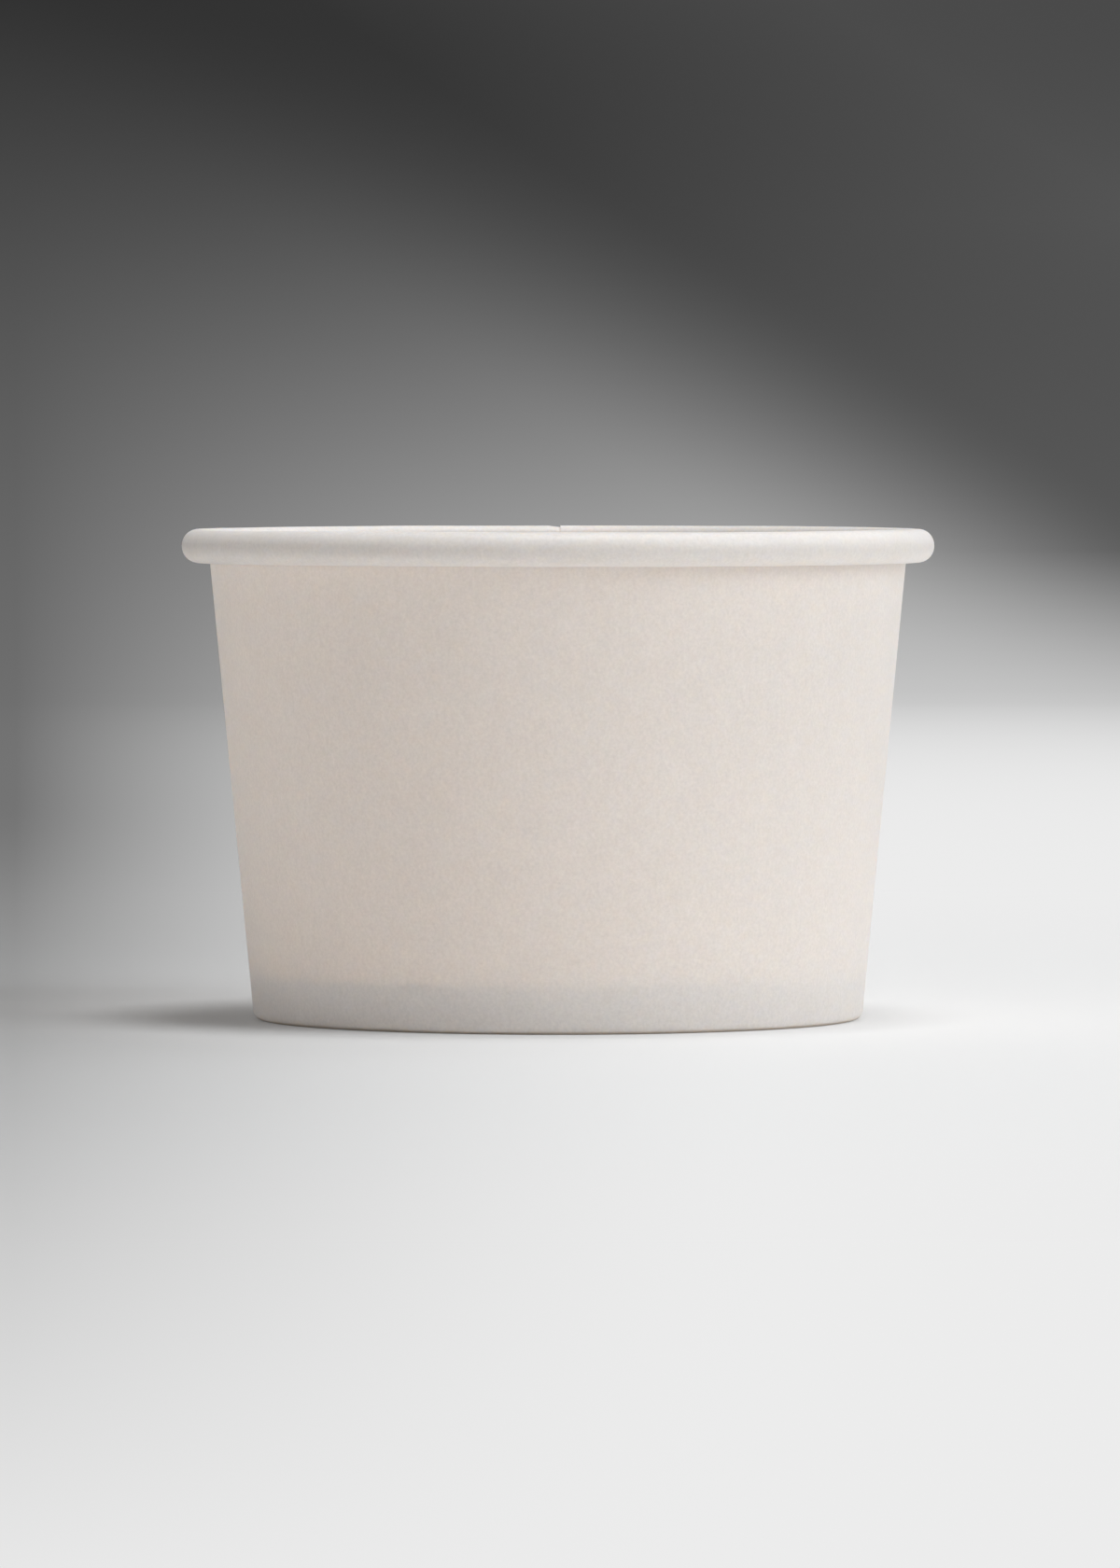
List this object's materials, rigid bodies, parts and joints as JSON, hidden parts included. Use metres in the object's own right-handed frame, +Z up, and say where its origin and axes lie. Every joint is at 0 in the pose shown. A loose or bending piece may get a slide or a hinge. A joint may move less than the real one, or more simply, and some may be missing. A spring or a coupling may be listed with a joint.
{
  "type": "paper sundae cup",
  "caption": "Short round paper cup with slightly tapered wall, rolled rim, side lap seam and recessed flat bottom, for a portion of ice cream.",
  "frame": {"origin": "centre of the base, on the surface that the cup stands on", "axes": "+Z up along the cup's axis, out of its mouth; the lap seam is at the back, at +Y"},
  "size_m": [0.076, 0.076, 0.0495],
  "materials": {
    "wall_board": "matte",
    "bottom_board": "satin"
  },
  "bodies": {
    "root": {"side_wall": "wall_board", "bottom_disc": "bottom_board"}
  },
  "joints": []
}
